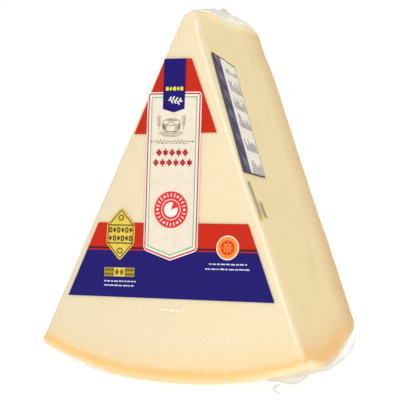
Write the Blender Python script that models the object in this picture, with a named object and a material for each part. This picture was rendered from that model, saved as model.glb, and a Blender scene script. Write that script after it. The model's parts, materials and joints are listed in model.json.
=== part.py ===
"""A sixteenth of a wheel of hard grana cheese, sealed in clear printed film.

The wheel is cut across at half its height and then into eighths, so the wedge has a flat front cut, two
radial cuts that meet at the point, a rind heel below and the wheel's flat side behind. It stands on its
heel and leans back a little, with the gathered end of its bag folded under the heel.
Metres, +Z up. The origin is the middle of the spot that the heel stands on, and the front cut faces -Y.
"""

import math

import bmesh
import bpy
from mathutils import Matrix, Vector

# The wheel and the cut
WHEEL_RADIUS = 0.210
HALF_ANGLE = math.radians(22.5)
DEPTH = 0.102  # front cut to the wheel's flat side
LEAN = math.radians(7.8)  # the top leans back by this much

# The rind heel, which is fullest a little behind the cut and drawn in towards the flat side
HEEL_FULLNESS = 0.002
HEEL_FULLEST_AT = 0.018
HEEL_DRAW_IN = 0.020
HEEL_CURVE = 1.5

# Rounded edges
FRONT_ROUND = 0.005
HEEL_FRONT_ROUND = 0.003
BACK_ROUND = 0.004
HEEL_BACK_ROUND = 0.010
POINT_ROUND = 0.003
HEEL_CORNER_ROUND = 0.002

FLAT_SPOT_DEPTH = 0.001  # how far the heel is pressed flat where it stands
GAP = 0.0003  # left between touching solids

# How finely the wedge is divided
POINT_STEPS = 10
CORNER_STEPS = 4
HEEL_STEPS = 28
CUT_STEPS = 9
FRONT_ROUND_STEPS = 6
BACK_ROUND_STEPS = 7
BODY_STEPS = 11
STANDING_STEPS = 2000  # of the search for the lowest line of the heel

# Gathered film along the top ridge: (distance behind the front cut, height above the ridge)
CREST_HEIGHTS = (
    (0.004, 0.0008),
    (0.014, 0.0022),
    (0.038, 0.0056),
    (0.046, 0.0040),
    (0.054, 0.0078),
    (0.062, 0.0034),
    (0.087, 0.0026),
    (0.098, 0.0012),
)
CREST_STEP = 0.0015
CREST_SWAY = 0.0011
CREST_SWAY_LENGTH = 0.0105
CREST_FOOT = 0.0005  # film thickness where the crest hugs the ridge
CREST_FOOT_STEPS = 8
CREST_ROOT = 0.0011  # half width of the fin's root
CREST_ROOT_HEIGHT = 0.0009  # above the foot, and at most this share of the fin's height
CREST_ROOT_SHARE = 0.4
CREST_ROOT_SWAY = 0.3  # how much of the sway reaches the root
CREST_TIP = 0.0004  # half width of the fin's tip
CREST_REACH = math.radians(65)  # how far the foot hugs the ridge on each side of its top

# The bag's gathered end, folded flat under the back of the heel
GATHER_FRONT_SIDE = 0.010  # where it starts at the heel's sides, behind the front cut
GATHER_FRONT_MIDDLE = 0.064  # and in the middle, clear of the flat spot
GATHER_BACK = 0.100
GATHER_CENTRE = 0.082
FLOOR_HALF_WIDTH = 0.060  # its outline on the floor, from the front cut
FLOOR_FRONT_SIDE = 0.041
FLOOR_FRONT_MIDDLE = 0.068
FLOOR_BACK = 0.119
GATHER_SQUARENESS = 0.45  # 1 makes its plan an ellipse, 0 a square
GATHER_POINTS = 84
GATHER_TOP_RINGS = 8
GATHER_SKIRT_RINGS = 10
GATHER_GAP = 0.0007
GATHER_BULGE = 0.0034
GATHER_FOLD = 0.0011
GATHER_FOLDS = 3.0
GATHER_PLEAT = 0.0009
GATHER_PLEATS = 17

# The printed front: bands of a triangle that shares the wedge's angle, and a panel down the middle
PRINT_THICKNESS = 0.0003
PRINT_BASE_HEIGHT = 0.0462  # of the print's lower edge above the heel's lowest point
PRINT_BASE_SHIFT = -0.0005
PRINT_AXIS_LEAN = -0.0152  # sideways shift per height
PRINT_TILT = 0.040  # rise per width
PRINT_POINT = 0.1519  # height of the triangle's point above its base
PRINT_SPREAD = 0.4114  # half width per height below the point
PRINT_TOP = 0.1320
UPPER_FIELD_BASE = 0.0910
LOWER_FIELD_TOP = 0.0416
PANEL_HALF_WIDTH = 0.0166
DRAPE_LINES = (0.0002, 0.0005, 0.0010, 0.0018, 0.0028, 0.0040, 0.0050)

# The printed patch on the right cut: down from the point along the cut, and back from the front
LABEL_DOWN = 0.0667
LABEL_BACK = 0.0213
LABEL_LENGTH = 0.0692
LABEL_WIDTH = 0.0290
LABEL_TURN = math.radians(5.2)


def rounding(distance, radius):
    """How far a surface sits inside the sharp outline, this far from an edge rounded to this radius."""
    short = max(0.0, radius - distance)
    return radius - math.sqrt(radius**2 - short**2)


def heel_radius(depth):
    """The rind's distance from the wheel's axis, this far behind the front cut."""
    reach = abs(depth - HEEL_FULLEST_AT) / (DEPTH - HEEL_FULLEST_AT)
    radius = WHEEL_RADIUS + HEEL_FULLNESS - HEEL_DRAW_IN * reach**HEEL_CURVE
    return radius - rounding(depth, HEEL_FRONT_ROUND) - rounding(DEPTH - depth, HEEL_BACK_ROUND)


def side_inset(depth):
    """How far the radial cuts sit inside their sharp planes, this far behind the front cut."""
    return rounding(depth, FRONT_ROUND) + rounding(DEPTH - depth, BACK_ROUND)


def ridge_centre(depth):
    """Height of the centre of the ridge's rounding."""
    return WHEEL_RADIUS - (POINT_ROUND + side_inset(depth)) / math.sin(HALF_ANGLE)


def arc(centre, radius, start, end, steps):
    """Points (x, z) along an arc from the start angle to the end angle, both included."""
    angles = (start + (end - start) * i / steps for i in range(steps + 1))
    return [(centre[0] + radius * math.cos(t), centre[1] + radius * math.sin(t)) for t in angles]


def divided(start, end, steps):
    """The points between two points that cut their line into equal steps."""
    (x0, z0), (x1, z1) = start, end
    return [(x0 + (x1 - x0) * i / steps, z0 + (z1 - z0) * i / steps) for i in range(1, steps)]


def wedge_ring(depth):
    """The wedge's outline at one depth: a sector with its point up and all its corners rounded."""
    radius = heel_radius(depth)
    point = arc((0, ridge_centre(depth)), POINT_ROUND, HALF_ANGLE, math.pi - HALF_ANGLE, POINT_STEPS)
    reach = radius - HEEL_CORNER_ROUND
    turn = HALF_ANGLE - math.asin((side_inset(depth) + HEEL_CORNER_ROUND) / reach)
    corner = (reach * math.sin(turn), WHEEL_RADIUS - reach * math.cos(turn))
    right = arc(corner, HEEL_CORNER_ROUND, turn - math.pi / 2, HALF_ANGLE, CORNER_STEPS)
    left = [(-x, z) for x, z in reversed(right)]
    heel = arc((0, WHEEL_RADIUS), radius, -math.pi / 2 - turn, turn - math.pi / 2, HEEL_STEPS)[1:-1]
    left_cut = divided(point[-1], left[0], CUT_STEPS)
    right_cut = divided(right[-1], point[0], CUT_STEPS)
    return [Vector((x, depth, z)) for x, z in point + left_cut + left + heel + right + right_cut]


def eased(radius, steps):
    """Distances from an edge, for even steps round its quarter circle."""
    return [radius * (1 - math.cos(math.pi / 2 * i / steps)) for i in range(steps + 1)]


def wedge_depths():
    """Where the outlines stand: close together round the front and back edges."""
    front = eased(FRONT_ROUND, FRONT_ROUND_STEPS)
    back = [DEPTH - distance for distance in eased(HEEL_BACK_ROUND, BACK_ROUND_STEPS)]
    start, end = front[-1], back[-1]
    middle = [start + (end - start) * i / BODY_STEPS for i in range(1, BODY_STEPS)]
    return front + middle + back[::-1]


def leaning_height(depth):
    """Height of the heel's lowest line at this depth as it leans, above the front cut's lower edge."""
    return (WHEEL_RADIUS - heel_radius(depth)) * math.cos(LEAN) - depth * math.sin(LEAN)


def lean_matrix():
    """Takes the upright wedge to where it stands, on the lowest line of its heel."""
    depths = [DEPTH * i / STANDING_STEPS for i in range(STANDING_STEPS + 1)]
    depth = min(depths, key=leaning_height)
    below = WHEEL_RADIUS - heel_radius(depth)
    back = depth * math.cos(LEAN) + below * math.sin(LEAN)
    lift = -leaning_height(depth) - FLAT_SPOT_DEPTH
    return Matrix.Translation((0, -back, lift)) @ Matrix.Rotation(-LEAN, 4, "X")


def material(name, colour, roughness, alpha=1.0):
    """A Principled material of its own for one sub-part."""
    made = bpy.data.materials.new(name)
    made.use_nodes = True
    shader = made.node_tree.nodes["Principled BSDF"]
    shader.inputs["Base Color"].default_value = (*colour, 1.0)
    shader.inputs["Roughness"].default_value = roughness
    shader.inputs["Metallic"].default_value = 0.0
    shader.inputs["Alpha"].default_value = alpha
    return made


def place(name, bm, finish, parent=None, sharp=math.radians(35)):
    """Turns a bmesh into a named, smooth-shaded object."""
    bmesh.ops.recalc_face_normals(bm, faces=bm.faces)
    mesh = bpy.data.meshes.new(name)
    bm.to_mesh(mesh)
    bm.free()
    mesh.materials.append(finish)
    mesh.shade_smooth()
    mesh.set_sharp_from_angle(angle=sharp)
    made = bpy.data.objects.new(name, mesh)
    made.parent = parent
    bpy.context.scene.collection.objects.link(made)
    return made


def loft(rings):
    """One closed shell through closed rings of points, capped at both ends."""
    bm = bmesh.new()
    loops = []
    for ring in rings:
        verts = [bm.verts.new(point) for point in ring]
        loops.append([bm.edges.new(pair) for pair in zip(verts, verts[1:] + verts[:1])])
    for near, far in zip(loops, loops[1:]):
        bmesh.ops.bridge_loops(bm, edges=near + far)
    for end in (loops[0], loops[-1]):
        bmesh.ops.edgeloop_fill(bm, edges=end)
    return bm


def make_wedge(standing):
    """The cheese in its clinging film, with the spot that it stands on pressed flat."""
    bm = loft([wedge_ring(depth) for depth in wedge_depths()])
    to_local = standing.matrix_world.inverted()
    floor_point = to_local @ Vector((0, 0, 0))
    down = (to_local.to_3x3() @ Vector((0, 0, -1))).normalized()
    whole = bm.verts[:] + bm.edges[:] + bm.faces[:]
    cut = bmesh.ops.bisect_plane(
        bm, geom=whole, plane_co=floor_point, plane_no=down, dist=1e-7, clear_outer=True
    )
    rim = [item for item in cut["geom_cut"] if isinstance(item, bmesh.types.BMEdge)]
    bmesh.ops.edgeloop_fill(bm, edges=rim)
    finish = material("cheese_in_film", (0.92, 0.78, 0.52), 0.35)
    return place("wrapped_wedge", bm, finish, standing)


def crest_height(depth):
    """Height of the gathered film above the ridge, eased between its named heights."""
    for (near, low), (far, high) in zip(CREST_HEIGHTS, CREST_HEIGHTS[1:]):
        if depth <= far:
            share = (depth - near) / (far - near)
            return low + (high - low) * share * share * (3 - 2 * share)
    return CREST_HEIGHTS[-1][1]


def crest_ring(depth):
    """The crest's outline at one depth: a foot that hugs the ridge, and a thin fin that sways."""
    centre = ridge_centre(depth)
    right, left = math.pi / 2 - CREST_REACH, math.pi / 2 + CREST_REACH
    radius = POINT_ROUND + GAP
    inner = arc((0, centre), radius, right, left, CREST_FOOT_STEPS)
    outer = arc((0, centre), radius + CREST_FOOT, left, (left + math.pi / 2) / 2, 2)
    top = centre + radius + CREST_FOOT
    tip = top + max(crest_height(depth) - CREST_FOOT, CREST_TIP)
    root = top + min(CREST_ROOT_HEIGHT, CREST_ROOT_SHARE * (tip - top))
    sway = CREST_SWAY * math.sin(2 * math.pi * depth / CREST_SWAY_LENGTH)
    low = CREST_ROOT_SWAY * sway
    fin = [(low - CREST_ROOT, root), (sway - CREST_TIP, tip)]
    fin += [(sway + CREST_TIP, tip), (low + CREST_ROOT, root)]
    other = [(-x, z) for x, z in reversed(outer)]
    return [Vector((x, depth, z)) for x, z in inner + outer + fin + other]


def make_crest(standing):
    """The film gathered along the ridge, which stands up clear and crumpled."""
    start, end = CREST_HEIGHTS[0][0], CREST_HEIGHTS[-1][0]
    steps = round((end - start) / CREST_STEP)
    depths = [start + (end - start) * i / steps for i in range(steps + 1)]
    bm = loft([crest_ring(depth) for depth in depths])
    finish = material("crest_film", (0.86, 0.86, 0.80), 0.15, 0.5)
    return place("film_crest", bm, finish, standing)


def gather_front(share, side, middle):
    """Where the fold starts across the heel: forward at the sides, further back in the middle."""
    return side + (middle - side) * math.cos(share * math.pi / 2) ** 2


def gather_outline():
    """The fold's outline as (share of the half angle, share from its front to its back): a rounded square."""
    turns = [2 * math.pi * i / GATHER_POINTS for i in range(GATHER_POINTS)]
    pairs = [(math.cos(turn), -math.sin(turn)) for turn in turns]
    squared = [[math.copysign(abs(v) ** GATHER_SQUARENESS, v) for v in pair] for pair in pairs]
    return [(across, 0.5 - 0.5 * ahead) for across, ahead in squared]


def on_heel(stand, across, depth):
    """A point just below the rind, in the standing frame."""
    radius = heel_radius(depth) + GATHER_GAP
    turn = across * HALF_ANGLE
    return stand @ Vector((radius * math.sin(turn), depth, WHEEL_RADIUS - radius * math.cos(turn)))


def make_gather(stand):
    """The bag's end, folded flat: its top hugs the heel, its skirt slopes in to the floor in soft folds."""
    front_cut = (stand @ Vector((0, 0, 0))).y
    outline = gather_outline()
    edge = []
    floor = []
    for across, along in outline:
        near = gather_front(across, GATHER_FRONT_SIDE, GATHER_FRONT_MIDDLE)
        edge.append((across, near + (GATHER_BACK - near) * along))
        near = gather_front(across, FLOOR_FRONT_SIDE, FLOOR_FRONT_MIDDLE)
        y = front_cut + near + (FLOOR_BACK - near) * along
        floor.append(Vector((across * FLOOR_HALF_WIDTH, y, 0)))
    rings = []
    for i in range(1, GATHER_TOP_RINGS + 1):
        share = i / GATHER_TOP_RINGS
        ring = [(across * share, GATHER_CENTRE + (depth - GATHER_CENTRE) * share) for across, depth in edge]
        rings.append([on_heel(stand, *point) for point in ring])
    middle = on_heel(stand, 0, GATHER_CENTRE)
    for i in range(1, GATHER_SKIRT_RINGS + 1):
        share = i / GATHER_SKIRT_RINGS
        free = math.sin(math.pi * share)
        fold = GATHER_FOLD * math.sin(2 * math.pi * GATHER_FOLDS * share)
        ring = []
        for j, (top, bottom) in enumerate(zip(rings[GATHER_TOP_RINGS - 1], floor)):
            pleat = GATHER_PLEAT * math.sin(2 * math.pi * GATHER_PLEATS * j / GATHER_POINTS)
            outward = Vector((top.x - middle.x, top.y - middle.y, 0)).normalized()
            swell = (GATHER_BULGE + fold + pleat) * free * outline[j][1]
            ring.append(top.lerp(bottom, share) + outward * swell)
        rings.append(ring)
    finish = material("gather_film", (0.86, 0.86, 0.82), 0.15, 0.5)
    return place("film_gather", loft(rings), finish)


def drape(x, z, lift):
    """The point (x, z) of the plane of the cut laid on the front surface, which turns back at its sides."""
    side = math.copysign(1, x)
    outward = Vector((side * math.cos(HALF_ANGLE), 0, math.sin(HALF_ANGLE)))
    to_side = -outward.dot(Vector((x, 0, z - WHEEL_RADIUS)))
    turn = math.asin(min(1.0, max(0.0, 1 - to_side / FRONT_ROUND)))
    depth = FRONT_ROUND * (1 - math.cos(turn)) - lift * math.cos(turn)
    return Vector((x, depth, z)) + outward * lift * math.sin(turn)


def print_point(across, up):
    """A point of the print, (sideways from its axis, above its base), on the plane of the cut."""
    x = PRINT_BASE_SHIFT + PRINT_AXIS_LEAN * up + across
    return Vector((x, 0, PRINT_BASE_HEIGHT + up + PRINT_TILT * across))


def make_front_print(standing):
    """The front print: an upper field, a lower field and the panel between, draped over the edges."""
    levels = (0, LOWER_FIELD_TOP, UPPER_FIELD_BASE, PRINT_TOP)
    half = {up: (PRINT_POINT - up) * PRINT_SPREAD for up in levels}
    right = [
        (half[0], 0),
        (half[LOWER_FIELD_TOP], LOWER_FIELD_TOP),
        (PANEL_HALF_WIDTH, LOWER_FIELD_TOP),
        (PANEL_HALF_WIDTH, UPPER_FIELD_BASE),
        (half[UPPER_FIELD_BASE], UPPER_FIELD_BASE),
        (half[PRINT_TOP], PRINT_TOP),
    ]
    outline = right + [(-across, up) for across, up in reversed(right)]
    bm = bmesh.new()
    bm.faces.new([bm.verts.new(print_point(across, up)) for across, up in outline])
    for side in (-1, 1):
        outward = Vector((side * math.cos(HALF_ANGLE), 0, math.sin(HALF_ANGLE)))
        for inset in DRAPE_LINES:
            whole = bm.verts[:] + bm.edges[:] + bm.faces[:]
            line = Vector((0, 0, WHEEL_RADIUS)) - outward * inset
            bmesh.ops.bisect_plane(bm, geom=whole, plane_co=line, plane_no=outward, dist=1e-6)
    bmesh.ops.triangulate(bm, faces=bm.faces)
    under = set(bm.verts)
    bmesh.ops.extrude_face_region(bm, geom=bm.faces[:])
    for vert in bm.verts:
        lift = GAP if vert in under else GAP + PRINT_THICKNESS
        vert.co = drape(vert.co.x, vert.co.z, lift)
    return place("front_print", bm, material("front_print_ink", (0.55, 0.03, 0.02), 0.35), standing)


def make_side_label(standing):
    """The printed patch on the right cut, a thin plate turned a little on the film."""
    bm = bmesh.new()
    bmesh.ops.create_cube(bm, size=1.0)
    bmesh.ops.scale(bm, verts=bm.verts, vec=(PRINT_THICKNESS, LABEL_WIDTH, LABEL_LENGTH))
    bmesh.ops.rotate(bm, verts=bm.verts, matrix=Matrix.Rotation(LABEL_TURN, 3, "X"))
    lift = GAP + PRINT_THICKNESS / 2
    bmesh.ops.translate(bm, verts=bm.verts, vec=(lift, LABEL_BACK, -LABEL_DOWN))
    bmesh.ops.rotate(bm, verts=bm.verts, matrix=Matrix.Rotation(-HALF_ANGLE, 3, "Y"))
    bmesh.ops.translate(bm, verts=bm.verts, vec=(0, 0, WHEEL_RADIUS))
    return place("side_label", bm, material("side_label_paper", (0.76, 0.73, 0.62), 0.4), standing)


def main():
    for old in list(bpy.data.objects):
        bpy.data.objects.remove(old)
    standing = bpy.data.objects.new("standing", None)
    bpy.context.scene.collection.objects.link(standing)
    stand = lean_matrix()
    standing.matrix_world = stand
    bpy.context.view_layer.update()
    make_wedge(standing)
    make_crest(standing)
    make_gather(stand)
    make_front_print(standing)
    make_side_label(standing)


main()
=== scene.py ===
import math
import random

import bpy
import numpy as np
from mathutils import Matrix, Vector, noise
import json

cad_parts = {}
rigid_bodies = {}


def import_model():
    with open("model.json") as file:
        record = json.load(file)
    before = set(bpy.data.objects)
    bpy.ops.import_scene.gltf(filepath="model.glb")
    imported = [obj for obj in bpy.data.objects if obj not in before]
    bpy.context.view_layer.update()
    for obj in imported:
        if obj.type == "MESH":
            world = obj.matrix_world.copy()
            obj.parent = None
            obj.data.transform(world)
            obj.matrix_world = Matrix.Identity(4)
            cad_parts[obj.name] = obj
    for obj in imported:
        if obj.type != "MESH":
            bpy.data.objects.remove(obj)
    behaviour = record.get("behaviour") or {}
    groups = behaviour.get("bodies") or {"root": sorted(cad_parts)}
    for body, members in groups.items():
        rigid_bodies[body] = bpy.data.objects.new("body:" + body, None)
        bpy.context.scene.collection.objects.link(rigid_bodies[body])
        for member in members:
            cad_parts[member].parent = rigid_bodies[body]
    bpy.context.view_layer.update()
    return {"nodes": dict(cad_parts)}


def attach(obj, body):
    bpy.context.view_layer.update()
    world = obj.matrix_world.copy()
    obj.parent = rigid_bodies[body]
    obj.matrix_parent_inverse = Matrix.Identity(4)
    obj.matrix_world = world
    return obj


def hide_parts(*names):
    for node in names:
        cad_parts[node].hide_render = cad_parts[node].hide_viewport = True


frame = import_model()
print("the packed wedge is loaded")

# The wheel, the cut and the stance, as the solids have them.
# In the upright frame the front cut is at y 0 and the heel's front at z 0.
wheel = {
    "radius": 0.210,
    "halfAngle": math.radians(22.5),
    "depth": 0.102,
    "lean": math.radians(7.8),
    "fullness": 0.002,
    "fullestAt": 0.018,
    "drawIn": 0.020,
    "heelCurve": 1.5,
    "flatSpot": 0.001,
    "pointRound": 0.003,
}
alongCut = Vector((math.sin(wheel["halfAngle"]), 0, -math.cos(wheel["halfAngle"])))  # down the right cut
offCut = Vector((math.cos(wheel["halfAngle"]), 0, math.sin(wheel["halfAngle"])))  # out of the right cut
ridgeTop = wheel["radius"] - wheel["pointRound"] * (1 / math.sin(wheel["halfAngle"]) - 1)


def heelRadius(depth):
    reach = np.abs(depth - wheel["fullestAt"]) / (wheel["depth"] - wheel["fullestAt"])
    return wheel["radius"] + wheel["fullness"] - wheel["drawIn"] * reach ** wheel["heelCurve"]


def stance():  # takes the upright wedge to where it stands on the lowest line of its heel
    depths = np.linspace(0, wheel["depth"], 2001)
    below = wheel["radius"] - heelRadius(depths)
    heights = below * math.cos(wheel["lean"]) - depths * math.sin(wheel["lean"])
    low = int(heights.argmin())
    back = depths[low] * math.cos(wheel["lean"]) + below[low] * math.sin(wheel["lean"])
    lift = -heights[low] - wheel["flatSpot"]
    return Matrix.Translation((0, -back, lift)) @ Matrix.Rotation(-wheel["lean"], 4, "X")


stand = stance()
upright = stand.inverted()


# Small tools: selecting, editing, reading and moving points


def only(piece):
    bpy.ops.object.select_all(action="DESELECT")
    piece.select_set(True)
    bpy.context.view_layer.objects.active = piece


def inEdit(piece, *steps):  # runs the steps in edit mode with everything selected first
    only(piece)
    bpy.ops.object.mode_set(mode="EDIT")
    for step in steps:
        bpy.ops.mesh.select_all(action="SELECT")
        step()
    bpy.ops.object.mode_set(mode="OBJECT")


def shaped(piece, kind, **settings):  # adds a modifier and applies it
    only(piece)
    change = piece.modifiers.new(kind.lower(), kind)
    for key, value in settings.items():
        setattr(change, key, value)
    bpy.ops.object.modifier_apply(modifier=change.name)


def choose(piece, test):  # in edit mode: selects the points that pass the test
    bpy.ops.mesh.select_all(action="DESELECT")
    bpy.ops.object.mode_set(mode="OBJECT")
    for vert in piece.data.vertices:
        vert.select = test(vert.co)
    bpy.ops.object.mode_set(mode="EDIT")


def named(name):
    piece = bpy.context.object
    piece.name = piece.data.name = name
    return piece


def settled(piece):  # the place goes into the mesh, and the object to the origin
    only(piece)
    bpy.ops.object.transform_apply(location=True, rotation=True, scale=True)
    return piece


def pointsOf(piece, what="co"):
    values = np.empty(len(piece.data.vertices) * 3)
    piece.data.vertices.foreach_get(what, values)
    return values.reshape(-1, 3)


def movePoints(piece, points):
    piece.data.vertices.foreach_set("co", np.asarray(points, np.float32).ravel())
    piece.data.update()


def pushed(piece, push):  # moves each point along its normal
    movePoints(piece, pointsOf(piece) + pointsOf(piece, "normal") * push[:, None])


def columns(*values):
    return np.stack(values, 1)


def byMatrix(matrix, points):
    matrix = np.array(matrix)
    return points @ matrix[:3, :3].T + matrix[:3, 3]


def stood(piece, where, lowest=-1.0):  # takes upright points to where the wedge stands, on the floor or above
    place = byMatrix(stand, where)
    place[:, 2] = np.maximum(place[:, 2], lowest)
    movePoints(piece, place)


def grain(points, scale, seed=0.0, stretch=(1, 1, 1)):  # soft noise at each point, -1 to 1
    shift = np.array((seed * 7.3, seed * 3.1, seed * 5.7))
    where = points * (scale * np.array(stretch)) + shift
    return np.array([noise.noise(spot) for spot in where])


def ease(values, low, high):
    share = np.clip((values - low) / (high - low), 0, 1)
    return share * share * (3 - 2 * share)


def follow(values, table):  # reads between the entries of a table of places and amounts
    return np.interp(values, list(table), list(table.values()))


def copyOfNode(node, name):
    only(frame["nodes"][node])
    bpy.ops.object.duplicate()
    bpy.ops.object.parent_clear(type="CLEAR_KEEP_TRANSFORM")
    piece = named(name)
    for key in list(piece.keys()):
        del piece[key]
    piece.data.materials.clear()
    bpy.ops.mesh.customdata_custom_splitnormals_clear()
    inEdit(piece, lambda: bpy.ops.mesh.remove_doubles(threshold=1e-6))
    return piece


# A finished piece gets its look, rides on the body and may stand for solids
def kept(piece, look, slot, *replaced, angle=60):
    only(piece)
    bpy.ops.object.shade_smooth_by_angle(angle=math.radians(angle))
    piece.data.materials.clear()
    piece.data.materials.append(look)
    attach(piece, "root")
    if replaced:
        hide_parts(*replaced)


# Materials


def colour(red, green, blue):  # 0 to 255, as a screen shows it
    shares = (red / 255, green / 255, blue / 255)
    return (*(c / 12.92 if c <= 0.04045 else ((c + 0.055) / 1.055) ** 2.4 for c in shares), 1.0)


class Wire:  # a socket that takes part in sums
    def __init__(self, recipe, socket):
        self.recipe, self.socket = recipe, socket

    def sum(self, operation, *values):
        return self.recipe.node("Math", {"operation": operation}, dict(enumerate(values)))

    def size(self):
        return self.sum("ABSOLUTE", self)


sums = {"add": "ADD", "sub": "SUBTRACT", "mul": "MULTIPLY", "truediv": "DIVIDE", "pow": "POWER"}
for word, operation in sums.items():
    setattr(Wire, f"__{word}__", lambda self, other, does=operation: self.sum(does, self, other))
    setattr(Wire, f"__r{word}__", lambda self, other, does=operation: self.sum(does, other, self))


class Recipe:  # one material and its nodes
    def __init__(self, name):
        self.material = bpy.data.materials.new(name)
        self.material.use_nodes = True
        self.tree = self.material.node_tree
        self.tree.nodes.clear()

    def node(self, kind, settings=None, sockets=None, output=0):
        made = self.tree.nodes.new("ShaderNode" + kind)
        for key, value in (settings or {}).items():
            if key == "stops":
                ramp = made.color_ramp
                while len(ramp.elements) < len(value):
                    ramp.elements.new(0.5)
                for element, (place, tint) in zip(ramp.elements, value):
                    element.position, element.color = place, tint
            else:
                setattr(made, key, value)
        for key, value in (sockets or {}).items():
            if isinstance(value, Wire):
                self.tree.links.new(value.socket, made.inputs[key])
            else:
                made.inputs[key].default_value = value
        return Wire(self, made.outputs[output])

    def place(self):
        return self.node("TexCoord", output="Object")

    def uprightPlace(self):  # Object coordinates turned back to the upright wedge
        moved = {"Location": tuple(upright.translation), "Rotation": tuple(upright.to_euler())}
        return self.node("Mapping", {"vector_type": "POINT"}, {"Vector": self.place(), **moved})

    def stretched(self, place, scale):
        return self.node("Mapping", {}, {"Vector": place, "Scale": scale})

    def parts(self, place):
        split = self.node("SeparateXYZ", sockets={"Vector": place})
        outputs = split.socket.node.outputs
        return [Wire(self, outputs[i]) for i in range(3)]

    def attribute(self, name):
        return self.node("Attribute", {"attribute_name": name}, output="Fac")

    def noise(self, place, scale, detail=2.0, roughness=0.5, twist=0.0):
        sockets = {"Vector": place, "Scale": scale, "Detail": detail, "Roughness": roughness}
        return self.node("TexNoise", sockets={**sockets, "Distortion": twist}, output="Fac")

    def between(self, value, low, high):  # 0 below low, 1 above high, eased
        sockets = {"Value": value, "From Min": low, "From Max": high}
        return self.node("MapRange", {"interpolation_type": "SMOOTHSTEP"}, sockets)

    def ramp(self, value, stops):
        return self.node("ValToRGB", {"stops": stops}, {"Fac": value}, "Color")

    def mix(self, share, first, second, blend="MIX"):
        settings = {"data_type": "RGBA", "blend_type": blend}
        return self.node("Mix", settings, {0: share, 6: first, 7: second}, 2)

    def bump(self, height, distance, strength):
        sockets = {"Height": height, "Distance": distance, "Strength": strength}
        return self.node("Bump", sockets=sockets, output="Normal")

    def glance(self, relief, least, most):  # how much a thin film mirrors, alike from both sides
        sockets = {"Blend": 0.5, "Normal": relief}
        return self.node("LayerWeight", sockets=sockets, output="Facing") ** 4.5 * most + least

    def surface(self, **sockets):
        sockets = {key.replace("_", " "): value for key, value in sockets.items()}
        return self.node("BsdfPrincipled", sockets=sockets)

    def film(self, cover, shader):  # the shader shows as far as the cover says, and is clear elsewhere
        cover = self.node("Clamp", sockets={"Value": cover})
        clear = self.node("BsdfTransparent")
        return self.done(self.node("MixShader", sockets={0: cover, 1: clear, 2: shader}))

    def done(self, shader):
        end = self.tree.nodes.new("ShaderNodeOutputMaterial")
        self.tree.links.new(shader.socket, end.inputs["Surface"])
        return self.material


cheeseLooks = {
    "paste": colour(246, 228, 187),
    # painted shade on the left of the front cut
    "pasteShadeLeft": colour(234, 217, 182),
    "pasteNearRind": colour(251, 222, 170),
    "sidePaste": colour(246, 225, 168),
    "sidePasteNearRind": colour(246, 214, 156),
    "sideAmber": colour(248, 196, 110),
    "sideRim": colour(252, 232, 178),
    "sideLow": colour(255, 246, 232),
    "amber": colour(249, 202, 116),
    "amberEdge": colour(249, 215, 153),
    "rim": colour(245, 215, 157),
    "rimInner": colour(249, 210, 136),
    # painted highlight on the front rim near the right corner
    "rimHighlight": colour(252, 231, 176),
    "backRind": colour(226, 182, 112),
    "heelRind": colour(222, 174, 104),
    "heelShade": colour(190, 138, 76),
    "crystal": colour(255, 246, 226),
    "streak": colour(228, 203, 146),
}
# Colours from the rind inwards: how wide the bands are in all, and the share of the way at which each stands
rindBands = {
    "front": (0.021, {
        0.0: "rim", 0.06: "rim", 0.13: "rimInner", 0.20: "amber", 0.29: "amber",
        0.38: "amberEdge", 0.46: "pasteNearRind", 0.62: "pasteNearRind", 1.0: "paste",
    }),
    "side": (0.023, {
        0.0: "sideRim", 0.09: "sideRim", 0.24: "sideAmber", 0.38: "sideAmber",
        0.62: "sidePasteNearRind", 1.0: "sidePaste",
    }),
}


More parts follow.
